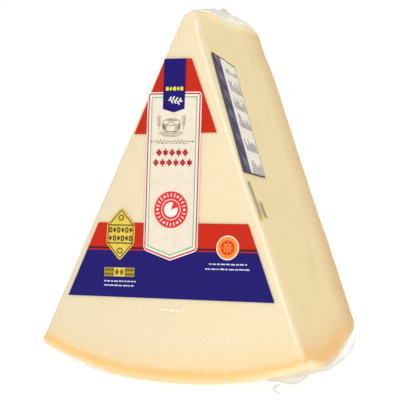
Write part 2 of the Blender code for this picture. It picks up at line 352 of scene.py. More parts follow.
def cheeseMaterial():
    looks = cheeseLooks
    r = Recipe("cheese_paste_and_rind")
    place = r.uprightPlace()
    x, y, z = r.parts(place)
    drift = r.noise(place, 45.0, 3.0) - 0.5
    fine = r.noise(place, 900.0, 3.0, 0.6) - 0.5
    mottle = r.noise(place, 130.0, 5.0, 0.6)
    inside = r.attribute("inside")  # distance in from the rind
    wavy = inside + drift * 0.004

    def banded(cut, distance):
        width, stops = rindBands[cut]
        return r.ramp(distance / width, [(share, looks[name]) for share, name in stops.items()])

    # The front cut: its bands narrow to the right, where the rim turns pale as a painted highlight, and its
    # paste is darker on the left as a painted shade
    frontTint = banded("front", wavy + r.between(x, 0.02, 0.08) * 0.0022)
    # Painted highlight: the rim is paler toward the right corner
    rimHighlight = r.between(x, 0.040, 0.070) * (1 - r.between(inside, 0.0004, 0.0031))
    frontTint = r.mix(rimHighlight, frontTint, looks["rimHighlight"])
    # Painted shade: the paste darkens toward the left
    shadeToLeft = r.between(x * -1, -0.035, 0.055) * r.between(inside, 0.005, 0.012)
    frontTint = r.mix(shadeToLeft * 0.5, frontTint, looks["pasteShadeLeft"])

    # The side cuts, paler low down, and where they begin
    sideTint = banded("side", wavy)
    sideTint = r.mix((1 - r.between(z, 0.03, 0.15)) * 0.5, sideTint, looks["sideLow"], "MULTIPLY")
    offFront = r.between(y, 0.0045, 0.0075)
    tint = r.mix(offFront, frontTint, sideTint)

    # Streaks and clouds in the paste, then the rind behind and under it
    streaks = r.between(r.noise(r.stretched(place, (90.0, 120.0, 9.0)), 1.0, 3.0, 0.6), 0.5, 0.78)
    tint = r.mix(streaks * (offFront * 0.36 + 0.08), tint, looks["streak"])
    clouds = r.between(r.noise(place, 28.0, 4.0, 0.55), 0.35, 0.75)
    tint = r.mix(clouds * 0.14, tint, looks["pasteNearRind"])
    nearBack = 1 - r.between(wheel["depth"] - y + drift * 0.012, 0.002, 0.030)
    low = 1 - r.between(z, 0.03, 0.13)
    tint = r.mix(nearBack * (low * 0.25 + 0.68), tint, looks["backRind"])
    heelTint = r.mix(r.between(mottle, 0.42, 0.68), looks["heelRind"], looks["heelShade"])
    onHeel = r.between(r.attribute("facingOut"), 0.80, 0.97) * r.between(y, 0.020, 0.050)
    tint = r.mix(onHeel * 0.9, tint, heelTint)

    # Pale crystals, more of them along the rind, and fine grain over all
    cell = r.node("TexVoronoi", {"feature": "F1"}, {"Vector": place, "Scale": 260.0}, "Distance")
    alongRind = r.between(inside, 0.0035, 0.007) * (1 - r.between(inside, 0.009, 0.013))
    often = r.between(r.noise(place, 95.0, 1.0) + alongRind * 0.12, 0.52, 0.62)
    crystals = (1 - r.between(cell, 0.10, 0.26)) * often
    tint = r.mix(crystals * 0.5, tint, looks["crystal"])
    shade = fine * 0.07 + 1
    grey = r.node("CombineColor", sockets={"Red": shade, "Green": shade, "Blue": shade})
    tint = r.mix(1.0, tint, grey, "MULTIPLY")
    relief = r.bump(fine + crystals * 0.5 + r.noise(place, 260.0, 3.0) * 0.8, 0.0004, 0.5)
    return r.done(r.surface(Base_Color=tint, Roughness=mottle * 0.15 + 0.45, Normal=relief))


filmLooks = {
    "sheen": colour(250, 250, 248),
    # the tight film's milk and its ridge highlight glow in this colour: painted light
    "wrapMilkAndHighlight": colour(250, 238, 205),
    "wrapGlow": 0.5,
    "wrapRoughness": 0.28,
    "milkAndGlow": {
        "gather": colour(249, 249, 244),
        "crest": colour(249, 247, 226),
        "veil": colour(247, 240, 222),
        # painted light: the wisp is tinted blue to cancel the warm light the cheese bounces onto it
        "wisp": colour(222, 232, 250),
    },
    "shade": {
        "gather": colour(202, 202, 184),
        "crest": colour(214, 212, 188),
        "veil": colour(224, 211, 184),
        # painted light: blue, to cancel the warm light bounced onto the wisp
        "wisp": colour(190, 202, 224),
    },
    "body": colour(188, 188, 188),
    "edge": colour(158, 162, 146),
    "edgeCover": 0.42,
    "looseRoughness": 0.20,
    # how much the loose film glows: painted light standing for light passing through it
    "glow": 0.40,
}


# Clear film drawn tight on the cheese: seen by its gloss, and milky where it is gathered, its milk glowing as
# painted light, with a painted highlight under the ridge
def wrapMaterial():
    r = Recipe("clear_tight_film")
    place = r.uprightPlace()
    x, y, z = r.parts(place)
    folds = r.noise(r.stretched(place, (60.0, 190.0, 14.0)), 1.0, 4.0, 0.6, 0.4)
    dents = r.noise(place, 34.0, 2.0, 0.5)
    relief = r.bump(folds * 0.5 + dents, 0.0011, 0.35)
    fromPoint = (x * x + (z - wheel["radius"]) ** 2) ** 0.5
    byRidge = 1 - r.between(fromPoint, 0.006, 0.026)
    byHeel = r.between(fromPoint, 0.176, 0.200) * r.between(y, 0.045, 0.092)
    onBack = r.between(y, wheel["depth"] - 0.006, wheel["depth"]) * r.between(fromPoint, 0.06, 0.20)
    lines = r.noise(r.stretched(place, (260.0, 60.0, 34.0)), 1.0, 3.0, 0.6, 0.8)
    lines = r.between((lines - 0.5).size() * -1, -0.045, 0.0)
    patches = r.between(r.noise(place, 60.0, 2.0), 0.40, 0.62)
    # Painted highlight: a pale band just under the ridge
    ridgeHighlight = (1 - r.between(fromPoint, 0.0045, 0.0115)) * r.between(y, 0.006, 0.014)
    milkAndGlow = lines * patches * (byRidge * 0.10 + byHeel * 0.12 + onBack * 0.08)
    milkAndGlow = milkAndGlow + ridgeHighlight * (dents * 0.25 + 0.06)
    # The milk and the ridge band glow: painted light
    glow = r.mix(r.between(milkAndGlow, 0.0, 0.08), (0, 0, 0, 1), filmLooks["wrapMilkAndHighlight"])
    gloss = {"Base_Color": filmLooks["sheen"], "Metallic": 1.0, "Roughness": filmLooks["wrapRoughness"]}
    light = {"Emission_Color": glow, "Emission_Strength": filmLooks["wrapGlow"]}
    return r.film(r.glance(relief, 0.07, 0.11) + milkAndGlow, r.surface(Normal=relief, **gloss, **light))


# Loose film, milky on its creases and denser at its free edge
def crumpleMaterial(name, tone, least, most, scale, stretch=(1.0, 1.0, 1.0), fade=None):
    r = Recipe(name)
    milkAndGlow, shade = filmLooks["milkAndGlow"][tone], filmLooks["shade"][tone]
    place = r.stretched(r.uprightPlace(), stretch)
    wander = r.noise(place, scale, 1.0, 0.4, 0.5)
    creases = r.between((wander - 0.5).size() * -1, -0.12, 0.0)
    clouds = r.noise(place, scale * 0.5, 1.0, 0.5)
    relief = r.bump(wander + clouds * 0.5, 0.0010, 0.35)
    edge = r.attribute("edge")
    cover = r.glance(relief, least, 0.4) + creases * (most - least) + edge * filmLooks["edgeCover"]
    if fade:
        cover = cover * fade(r)
    tint = r.mix(r.between(clouds, 0.36, 0.6), shade, milkAndGlow)
    tint = r.mix(creases * 0.6, tint, milkAndGlow)
    tint = r.mix(edge * 0.85, tint, filmLooks["edge"])
    looks = {
        "Base_Color": r.mix(1.0, tint, filmLooks["body"], "MULTIPLY"),
        "Roughness": filmLooks["looseRoughness"],
        "Normal": relief,
        # The film glows: painted light that stands for the light passing through it
        "Emission_Color": tint,
        "Emission_Strength": filmLooks["glow"],
    }
    return r.film(cover, r.surface(**looks))


def inkMaterial(name, tint, other=None, scale=420.0, spread=0.35, roughness=0.34):
    r = Recipe(name)
    tint = colour(*tint)
    other = colour(*other) if other else tuple(c * 0.86 for c in tint[:3]) + (1.0,)
    place = r.place()
    patch = r.noise(place, scale, 3.0, 0.6)
    looks = {
        "Base_Color": r.mix(r.between(patch, 0.35, 0.75) * spread, tint, other),
        "Roughness": patch * 0.1 + roughness,
        "Normal": r.bump(r.noise(place, 70.0, 3.0) + patch * 0.1, 0.0006, 0.25),
        "Specular_IOR_Level": 0.22,
    }
    return r.done(r.surface(**looks))


inks = {
    "red": ("red_ink", (203, 36, 8)),
    "blue": ("dark_blue_ink", (24, 10, 108)),
    "white": ("white_ink", (243, 239, 228)),
    "line": ("dark_red_line", (84, 18, 36)),
    "green": ("green_line", (120, 188, 130)),
    "brightRed": ("bright_red_ink", (238, 46, 44)),
    "border": ("red_border", (214, 62, 52)),
    "paper": ("printed_paper", (240, 227, 206), (224, 208, 184), 260.0, 0.55, 0.5),
    "olive": ("olive_drawing_ink", (112, 104, 76)),
    "ornament": ("dark_red_ink", (190, 40, 50)),
    "yellow": ("yellow_ink", (236, 226, 40)),
    "gold": ("gold_ink", (236, 206, 84), (206, 176, 66), 300.0, 0.6, 0.3),
    "darkGold": ("dark_gold_ink", (92, 78, 22)),
    "oliveGold": ("olive_gold_ink", (176, 160, 44)),
    "orange": ("orange_ink", (247, 164, 62)),
    "sealRed": ("orange_red_ink", (238, 60, 30)),
    "violet": ("violet_ink", (44, 36, 78), (84, 74, 112), 150.0, 0.8),
    "darkEdge": ("dark_edge_ink", (44, 30, 56)),
    "palePrint": ("pale_print_ground", (240, 234, 216), (226, 218, 200), 200.0, 0.5),
    "greyPrint": ("grey_small_print", (128, 120, 134)),
    "paleViolet": ("pale_violet_small_print", (136, 130, 164)),
    "brownPrint": ("brown_small_print", (150, 132, 100)),
    "paleBlue": ("pale_blue_small_print", (206, 204, 228)),
    "faint": ("faint_print", (255, 246, 222)),
    "leaf": ("leaf_yellow_ink", (196, 196, 40)),
}
ink = {key: inkMaterial(*values) for key, values in inks.items()}
print("the materials are ready")


# The cheese and the film on it
cheeseShape = {
    "voxel": 0.0012,
    "smoothing": 8,
    "inset": 0.0005,
    "unevenness": 0.00016,
    "rindRelief": 0.00016,
    "solidRounding": 0.005,
    "creaseRounding": 0.0028,
    "swell": 0.0022,
    "pointLean": 0.0022,
    "ridgeLift": {  # by the distance behind the front cut
        0.010: 0.0003, 0.025: 0.0013, 0.035: 0.0018, 0.050: 0.0016, 0.060: 0.0016,
        0.080: 0.0023, 0.088: 0.0017, 0.096: 0.0003, 0.102: -0.0008,
    },
    "cutOut": 0.0016,
    "leftSag": 0.0009,
    "backOut": 0.0010,
    "cornerOut": {
        0.0: 0.0, 0.008: -0.0013, 0.016: -0.0013, 0.030: 0.0022, 0.050: 0.0024, 0.075: 0.0011, 0.090: 0.0,
    },
}


def fromPointOf(where):  # distance from the wheel's axis
    return np.hypot(where[:, 0], where[:, 2] - wheel["radius"])


def insideRind(where):
    return heelRadius(where[:, 1]) - fromPointOf(where)


def uprightNormals(piece):
    return byMatrix(upright.to_3x3().to_4x4(), pointsOf(piece, "normal"))


def tighten(piece):  # the front creases get a smaller rounding than the solid's
    turned = uprightNormals(piece)
    front, wide, tight = Vector((0, -1, 0)), cheeseShape["solidRounding"], cheeseShape["creaseRounding"]
    half = offCut.angle(front) / 2
    middle = np.array((offCut + front).normalized())
    mirrored = columns(np.abs(turned[:, 0]), turned[:, 1], turned[:, 2])
    offMiddle = np.minimum(np.arccos(np.clip(mirrored @ middle, -1, 1)), half)
    offCentre = (wide - tight) / math.cos(half)
    arc = offCentre * np.cos(offMiddle) + np.sqrt(tight**2 - (offCentre * np.sin(offMiddle)) ** 2)
    push = np.minimum(wide / np.cos(half - offMiddle), arc) - wide
    share = 1 - ease(np.abs(mirrored @ np.array(alongCut)), 0.1, 0.35)
    depth = byMatrix(upright, pointsOf(piece))[:, 1]
    pushed(piece, np.maximum(push, 0) * share * (1 - ease(depth, wide, wide + 0.002)))


# The cut is not as true as the solid's planes: blunter at the point, and fuller at the lower right
def swell(piece):
    shape = cheeseShape
    where = byMatrix(upright, pointsOf(piece))
    x, y, z = where.T
    down = wheel["radius"] - z
    turn = np.arctan2(x, down)
    blunt = shape["swell"] * np.exp(-down / 0.045) * (1 - ease(y, 0.0, 0.07))
    lean = shape["pointLean"] * np.exp(-np.maximum(ridgeTop - z, 0) / 0.0055) * (1 - ease(y, 0.01, 0.05))
    toRight = ease(x / np.maximum(down * math.tan(wheel["halfAngle"]), 0.01), 0.55, 0.95)
    behind = ease(y, 0.045, 0.085) * ease(z, 0.092, 0.118) * (1 - ease(z, 0.175, 0.195))
    out = toRight * (shape["cutOut"] * (1 - ease(z, 0.080, 0.118)) + shape["backOut"] * behind)
    onRidge = np.exp(-((x / 0.0040) ** 2)) * ease(z, ridgeTop - 0.010, ridgeTop - 0.002)
    lift = follow(y, shape["ridgeLift"]) * onRidge
    corner = follow(y, shape["cornerOut"]) * ease(turn, math.radians(13), math.radians(20))
    sag = shape["leftSag"] * np.exp(-(((np.degrees(turn) + 8) / 4.5) ** 2)) * (1 - ease(y, 0.018, 0.045))
    heel = (corner + sag) * ease(fromPointOf(where), 0.192, 0.206)
    across = blunt * ease(x, -0.004, 0.004) + lean + out + heel * np.sin(turn)
    upward = blunt * 0.6 * ease(z, 0.190, 0.206) + lift - heel * np.cos(turn)
    stood(piece, where + columns(across, 0 * x, upward), 0.0)


def marked(piece, name, values):  # keeps a value on each point, for the material
    layer = piece.data.attributes.new(name, "FLOAT", "POINT")
    layer.data.foreach_set("value", np.asarray(values, np.float32))


def evenCopies():  # two even meshes of the wedge: the cheese, and the film that clings to it
    piece = copyOfNode("wrapped_wedge", "cheese")
    shaped(piece, "REMESH", mode="VOXEL", voxel_size=cheeseShape["voxel"])
    shaped(piece, "SMOOTH", factor=0.5, iterations=cheeseShape["smoothing"])
    tighten(piece)
    where = byMatrix(upright, pointsOf(piece))
    fromPoint = fromPointOf(where)
    outward = columns(where[:, 0], 0 * fromPoint, where[:, 2] - wheel["radius"]) / (fromPoint[:, None] + 1e-9)
    marked(piece, "inside", insideRind(where))
    marked(piece, "facingOut", (uprightNormals(piece) * outward).sum(1) * ease(fromPoint, 0.15, 0.18))
    swell(piece)
    only(piece)
    bpy.ops.object.duplicate()
    return piece, named("film_wrap")


def makeCheese(piece):
    shape = cheeseShape
    where = byMatrix(upright, pointsOf(piece))
    atBack = 1 - ease(wheel["depth"] - where[:, 1], 0.001, 0.003)
    rind = np.maximum(1 - ease(insideRind(where), 0.001, 0.003), atBack)
    uneven = shape["unevenness"] * grain(where, 55, 1)
    rough = shape["rindRelief"] * grain(where, 420, 2)
    pushed(piece, -shape["inset"] + (1 - rind) * uneven + rind * (rough - shape["rindRelief"]))
    kept(piece, cheeseMaterial(), "cheese", "wrapped_wedge")


wrapShape = {"pleat": 0.00035, "pleatFade": 0.012, "crease": 0.00035, "backPleat": 0.0009, "loose": 0.0009}


def makeWrap(piece):
    shape = wrapShape
    where = byMatrix(upright, pointsOf(piece))
    x, y, z = where.T
    fromPoint = fromPointOf(where)
    ridges = 1 - 2 * np.abs(grain(where, 1, 3, (60, 130, 30)))
    pleats = shape["pleat"] * np.exp(-fromPoint / shape["pleatFade"]) * ridges
    creases = shape["crease"] * ease(grain(where, 1, 4, (40, 110, 9)), 0.15, 0.7)
    angle = np.arctan2(x, wheel["radius"] - z - 0.165)  # the back's folds fan out from under its middle
    fan = 1 - 2 * np.abs(grain(columns(angle * 4.5, fromPoint * 12, angle * 0), 1, 5))
    toBack = ease(y, wheel["depth"] - 0.004, wheel["depth"] - 0.0005) * ease(fromPoint, 0.03, 0.19)
    atCorner = ease(fromPoint, 0.14, 0.19) * ease(y, 0.045, 0.09)
    loose = shape["loose"] * atCorner * (0.75 + 0.25 * grain(where, 1, 15, (30, 60, 160)))
    onSides = ease(y, 0.004, 0.012) * (np.maximum(pleats, -0.0002) + creases)
    pushed(piece, onSides + toBack * shape["backPleat"] * ease(fan, 0.1, 0.9) + loose)
    kept(piece, wrapMaterial(), "clear_film", "wrapped_wedge")


cheese, wrap = evenCopies()
makeCheese(cheese)
makeWrap(wrap)
print("the cheese and its tight film are made")


# The loose film: the crest on the ridge, the folded end under the heel, and what hangs or lies past the edges
filmThickness = 0.00008


def sheet(name, steps):  # an even sheet, and how far each point lies along it and out on it, 0 to 1
    bpy.ops.mesh.primitive_grid_add(x_subdivisions=steps[0], y_subdivisions=steps[1], size=1)
    piece = named(name)
    flat = pointsOf(piece) + 0.5
    return piece, flat[:, 0], flat[:, 1]


# A sheet along a table's places, with how far out on it each point lies, its place and its reach
def sheetAlong(name, reaches, steps):
    piece, along, out = sheet(name, steps)
    first, *_, last = reaches
    places = first + along * (last - first)
    return piece, out, places, follow(places, reaches)


def thinFilm(piece, shape, edge, *replaced, fade=None):  # a sheet gets its thickness, free edge and look
    marked(piece, "edge", edge)
    inEdit(piece, lambda: bpy.ops.mesh.normals_make_consistent(inside=False))
    shaped(piece, "SOLIDIFY", thickness=filmThickness, offset=0)
    look = crumpleMaterial(shape["name"], fade=fade, **shape["looks"])
    kept(piece, look, "clear_film", *replaced, angle=80)


def bend(share, start, middle, end):
    return (1 - share) ** 2 * start + 2 * share * (1 - share) * middle + share**2 * end


crestShape = {
    "heights": {  # over the ridge, by the distance behind the front cut
        0.0120: 0.0010, 0.0169: 0.0025, 0.0250: 0.0036, 0.0340: 0.0047, 0.0373: 0.0055, 0.0416: 0.0050,
        0.0445: 0.0053, 0.0470: 0.0064, 0.0495: 0.0070, 0.0533: 0.0067, 0.0568: 0.0058, 0.0613: 0.0045,
        0.0682: 0.0041, 0.0761: 0.0036, 0.0886: 0.0023, 0.0925: 0.0014, 0.0952: 0.0004,
    },
    "foot": 0.0075,  # how far down the cuts its feet reach
    "root": 0.0012,
    "sway": 0.00176,
    "fold": 0.0007,
    "tuft": 0.0009,
    "peak": 0.0475,
    "steps": (240, 44),
    "name": "crumpled_crest_film",
    "looks": {"tone": "crest", "least": 0.20, "most": 0.38, "scale": 70.0, "stretch": (1.8, 0.5, 1.8)},
}


def crestFade(r):  # the film turns clear where it lies down on the cuts
    x, y, z = r.parts(r.uprightPlace())
    fromPoint = (x * x + (z - wheel["radius"]) ** 2) ** 0.5
    return 1 - r.between(fromPoint, 0.0052, 0.0098) * r.between(wheel["radius"] - z, 0.0035, 0.0065)


def makeCrest():
    shape = crestShape
    piece, across, y, height = sheetAlong("film_crest_sheet", shape["heights"], shape["steps"])
    side = np.sign(across - 0.5 + 1e-9)
    up = 1 - 2 * np.abs(across - 0.5)  # 0 at the feet, 1 at the top edge
    lift = follow(y, cheeseShape["ridgeLift"])
    spread = (0.15 + 0.85 * ease(y, 0.012, 0.030)) * (1 - 0.6 * ease(y, 0.085, 0.1))
    foot = wheel["pointRound"] + shape["foot"] * spread
    footX = alongCut.x * foot + offCut.x * 0.0004
    footZ = wheel["radius"] + alongCut.z * foot + offCut.z * 0.0004
    root = ridgeTop + lift + 0.0005
    top = ridgeTop + np.maximum(height, lift + 0.0004) - np.maximum(y - 0.0925, 0) ** 2 / 0.010
    spots = columns((across - 0.5) * 0.02, y, (across - 0.5) * 0.01)
    free = up * np.clip((top - root) / 0.004, 0.0, 1.0)
    nearPeak = np.exp(-(((y - shape["peak"]) / 0.009) ** 2))
    sway = shape["sway"] * grain(spots, 1, 6, (20, 80, 20)) * free
    fold = shape["fold"] * grain(spots, 1, 7, (160, 45, 60)) * free
    tuft = shape["tuft"] * grain(spots, 1, 10, (260, 330, 200)) * up * up * nearPeak
    x = side * (bend(up, footX, shape["root"], 0.00025) + fold + tuft * 0.7) + sway
    stood(piece, columns(x, y, bend(up, footZ, root, top) + tuft))
    patchy = np.clip(0.6 + 1.3 * grain(spots, 1, 16, (40, 190, 40)), 0.15, 1.2)
    edge = ease(up, 0.80, 1.0) * patchy * (0.75 - 0.45 * nearPeak) * ease(y, 0.012, 0.018)
    thinFilm(piece, shape, edge, "film_crest", fade=crestFade)


gatherShape = {
    "voxel": 0.0011,
    "fold": 0.0012,
    "crumple": 0.0004,
    "lines": 150.0,
    "flare": 0.0011,
    "name": "crumpled_gather_film",
    "looks": {"tone": "gather", "least": 0.10, "most": 0.30, "scale": 55.0, "stretch": (0.5, 0.5, 2.4)},
}


def makeGather():
    shape = gatherShape
    piece = copyOfNode("film_gather", "film_gather_folds")
    shaped(piece, "REMESH", mode="VOXEL", voxel_size=shape["voxel"])
    shaped(piece, "SMOOTH", factor=0.5, iterations=4)
    points, normals = pointsOf(piece), pointsOf(piece, "normal")
    free = ease(points[:, 2], 0.0002, 0.004) * ease(np.hypot(normals[:, 0], normals[:, 1]), 0.25, 0.7)
    bent = points + 0.004 * grain(points, 45, 11)[:, None]
    folds = 1 - 2 * np.abs(grain(bent, 1, 12, (22, 22, shape["lines"])))
    crumple = shape["crumple"] * grain(points, 170, 13)
    pushed(piece, free * (shape["fold"] * (folds - 0.6) + crumple + shape["flare"]))
    kept(piece, crumpleMaterial(shape["name"], **shape["looks"]), "clear_film", "film_gather")


def pastEdge(r):  # the film turns clear where it lies on the cheese
    return r.attribute("past")


# Loose film that runs on from the right cut past the heel's edge
finShape = {
    "reaches": {  # past the edge, by the distance behind the front cut
        0.0020: 0.0006, 0.0182: 0.0018, 0.0320: 0.0030, 0.0456: 0.0035, 0.0583: 0.0042,
        0.0700: 0.0045, 0.0776: 0.0043, 0.0860: 0.0027, 0.0918: 0.0007, 0.0976: -0.0042,
    },
    "inner": 0.0050,  # how far it lies on the cut
    "ripple": 0.0007,
    "bend": 0.16,
    "steps": (200, 20),
    "name": "loose_fin_film",
    "looks": {"tone": "gather", "least": 0.19, "most": 0.40, "scale": 75.0, "stretch": (0.7, 0.5, 0.7)},
}


def makeFin():
    shape = finShape
    piece, out, y, reach = sheetAlong("film_fin", shape["reaches"], shape["steps"])
    wander = 0.6 + 0.4 * grain(columns(y, 0 * y, 0 * y), 110, 20)
    start = -shape["inner"] * wander - 0.004 * ease(y, 0.088, 0.0976)
    down = heelRadius(y) + start + out * (reach - start)
    past = np.clip(down - heelRadius(y) + 0.0015, 0, 1)
    ripple = shape["ripple"] * grain(columns(y, down * 0.5, 0 * y), 75, 21) * ease(past, 0.0, 0.004)
    off = ripple + 0.0006 + 0.0007 * ease(y, 0.04, 0.08) - shape["bend"] * past
    cut = columns(0 * y + cheeseShape["cutOut"], y, 0 * y + wheel["radius"])
    stood(piece, np.outer(down, alongCut) + np.outer(off, offCut) + cut, 0.0002)
    marked(piece, "past", ease(past, 0.0002, 0.0020))
    thinFilm(piece, shape, ease(out, 0.62, 0.98) * ease(past, 0.0, 0.003) * 0.42, fade=pastEdge)


# The hem along the front's lower edge, which hangs down under the right corner
veilShape = {
    "reaches": {  # past the edge, by the turn round the heel in degrees
        -21.8: 0.0002, -19.0: 0.0007, -15.4: 0.0015, -12.9: 0.0016, -10.2: 0.0012, -9.4: 0.0020, -8.4: 0.0006,
        -6.0: 0.0003, -4.0: -0.0012, 7.0: -0.0012, 9.0: 0.0006, 12.0: 0.0008, 13.5: 0.0011, 15.5: 0.0017,
        17.6: 0.0032, 18.7: 0.0050, 19.6: 0.0068, 20.9: 0.0076, 21.9: 0.0068, 22.6: 0.0055, 23.3: 0.0030,
    },
    "inner": 0.0014,
    "ripple": 0.0007,
    "steps": (320, 14),
    "name": "loose_veil_film",
    "looks": {"tone": "veil", "least": 0.32, "most": 0.56, "scale": 70.0, "stretch": (1.2, 0.6, 0.6)},
}


def makeVeil():
    shape = veilShape
    piece, out, turn, reach = sheetAlong("film_veil", shape["reaches"], shape["steps"])
    along = (turn - turn.min()) / np.ptp(turn)
    turn = np.radians(turn)
    past = out * (reach + shape["inner"]) - shape["inner"]
    down = wheel["radius"] + past
    ripple = shape["ripple"] * grain(columns(along * 3, out * 0.5, 0 * out), 11, 24) * out
    forward = 0.0040 * ease(out, 0.15, 1.0) * ease(reach, 0.0006, 0.004)
    y = 0.0045 - forward + ripple * ease(reach, 0.0005, 0.003)
    stood(piece, columns(np.sin(turn) * down, y, wheel["radius"] - np.cos(turn) * down), 0.0002)
    marked(piece, "past", ease(past - 0.0012 * ease(turn, 0.0, 0.2), -0.0004, 0.0014))
    edge = ease(out, 0.80, 1.0) * 0.3 * (0.3 + 0.7 * ease(turn, 0.1, 0.3))
    thinFilm(piece, shape, edge, fade=pastEdge)


wispShape = {
    "line": ((0.0543, 0.0057), (0.0538, 0.0010), (0.0556, -0.0080), (0.0590, -0.0142), (0.0627, -0.0162)),
    "width": 0.0024,
    "rise": 0.0018,
    "steps": (70, 8),
    "name": "loose_wisp_film",
    "looks": {"tone": "wisp", "least": 0.22, "most": 0.46, "scale": 120.0},
}


def makeWisp():  # a loose curl of film on the floor in front of the right corner
    shape = wispShape
    piece, along, out = sheet("film_wisp", shape["steps"])
    knots = np.linspace(0, 1, len(shape["line"]))

    def lineAt(share):
        return columns(*(np.interp(share, knots, values) for values in zip(*shape["line"])))

    heading = lineAt(along + 0.08) - lineAt(along - 0.08)
    heading /= np.linalg.norm(heading, axis=1)[:, None]
    aside = columns(-heading[:, 1], heading[:, 0])
    width = shape["width"] * (0.4 + 0.6 * np.sin(np.pi * np.clip(along * 0.85 + 0.1, 0, 1)))
    spot = lineAt(along) + aside * ((out - 0.5) * width)[:, None]
    rise = shape["rise"] * (0.3 + 0.7 * np.sin(np.pi * along)) * (0.2 + 0.8 * np.abs(out * 2 - 1) ** 2)
    rise = rise + 0.0004 * (1 + grain(np.column_stack([spot, rise]), 200, 14))
    movePoints(piece, np.column_stack([spot, rise]))
    shaped(piece, "SMOOTH", factor=0.5, iterations=6)
    thinFilm(piece, shape, 0 * out + 0.12)


makeCrest()
makeGather()
makeFin()
makeVeil()
makeWisp()
print("the loose film is made")


# The print: flat shapes drawn in (across, up), bent to the form of their field and laid on the film
frontPrint = {
    "baseHeight": 0.0462,
    "baseShift": -0.0005,
    "axisLean": -0.0152,
    "panelLean": (-0.0135, -0.0001),
    "tilt": 0.040,
    "tiltGrowth": 0.2,  # the upper edges slope a little more than the lower ones
    "point": 0.1519,
    "spread": 0.4114,
    "blueTop": 0.0262,
    "thinLineTop": 0.0268,
    "red": (0.0281, 0.0416),
    "upperRed": (0.0910, 0.1320),
    "mesh": 0.0016,
    "thickness": 0.00006,
}


def rows(*threeRows):
    return Matrix((*threeRows, (0, 0, 0, 1)))


onFront = rows(
    (1, 0, frontPrint["axisLean"], frontPrint["baseShift"]),
    (0, 1, 0, 0),
    (frontPrint["tilt"], 0, 1, frontPrint["baseHeight"]),
)
panelLean = rows((1, 0, *frontPrint["panelLean"]), (0, 1, 0, 0), (0, 0, 1, 0))
rightCut = rows((0, -offCut.x, -alongCut.x, 0), (1, 0, 0, 0), (0, -offCut.z, -alongCut.z, wheel["radius"]))
fields = {  # how a drawing is bent, and where it stands
    "front": (onFront, stand),
    "panel": (onFront @ panelLean, stand),
    "side": (Matrix(), stand @ rightCut),
}
even = frontPrint["mesh"]
coarse = 0.003


def placed(add, across, up, width, height, turn, **settings):  # adds a piece flat on the drawing
    add(location=(across, 0, up), rotation=(math.pi / 2, -math.radians(turn), 0), **settings)
    piece = bpy.context.object
    piece.scale = (width, height, 1)
    return settled(piece)


def bar(across, up, width, height, turn=0.0, rounded=0.0):
    piece = placed(bpy.ops.mesh.primitive_plane_add, across, up, width, height, turn, size=1)
    if rounded:
        inEdit(piece, lambda: bpy.ops.mesh.bevel(offset=rounded, segments=5, affect="VERTICES"))
    return piece


def disc(across, up, halfWidth, halfHeight=None, sides=64, turn=0.0):
    spot = (across, up, halfWidth, halfHeight or halfWidth, turn)
    circle = {"vertices": sides, "radius": 1, "fill_type": "NGON"}
    return placed(bpy.ops.mesh.primitive_circle_add, *spot, **circle)


def openFrame(piece, thickness):  # leaves a band of this width inside the outline
    def cut():
        bpy.ops.mesh.inset(thickness=thickness)
        bpy.ops.mesh.delete(type="FACE")

    inEdit(piece, cut)
    return piece


def drawnIn(piece, amount):  # keeps only what is inside a band of this width
    def cut():
        bpy.ops.mesh.select_mode(type="FACE")
        bpy.ops.mesh.inset(thickness=amount)
        bpy.ops.mesh.select_all(action="INVERT")
        bpy.ops.mesh.delete(type="FACE")
        bpy.ops.mesh.select_mode(type="VERT")

    inEdit(piece, cut)
    return piece


def stroke(points, width):  # a drawn line, as a flattened tube
    bpy.ops.curve.primitive_nurbs_path_add()
    line = bpy.context.object.data
    line.splines.clear()
    spline = line.splines.new("POLY")
    spline.points.add(len(points) - 1)
    for spot, (across, up) in zip(spline.points, points):
        spot.co = (across, 0, up, 1)
    line.bevel_depth, line.bevel_resolution, line.use_fill_caps = width / 2, 1, True
    line.twist_mode = "Z_UP"
    bpy.ops.object.convert(target="MESH")
    piece = bpy.context.object
    piece.scale = (1, 0.08, 1)
    return settled(piece)


def joined(name, pieces):
    bpy.ops.object.select_all(action="DESELECT")
    for piece in pieces:
        piece.select_set(True)
    bpy.context.view_layer.objects.active = pieces[0]
    if len(pieces) > 1:
        bpy.ops.object.join()
    return named(name)


def crossCut(piece, across, upward):  # divides a flat piece so that it can follow the film
    low, high = (Vector(f(v) for v in zip(*[v.co for v in piece.data.vertices])) for f in (min, max))
    only(piece)
    bpy.ops.object.mode_set(mode="EDIT")
    for axis, normal, step in ((0, (1, 0, 0), across), (2, (0, 0, 1), upward)):
        count = int((high[axis] - low[axis]) / step)
        for i in range(1, count + 1):
            spot = [0.0, 0.0, 0.0]
            spot[axis] = low[axis] + (high[axis] - low[axis]) * i / (count + 1)
            bpy.ops.mesh.select_all(action="SELECT")
            bpy.ops.mesh.bisect(plane_co=spot, plane_no=normal)
    bpy.ops.object.mode_set(mode="OBJECT")


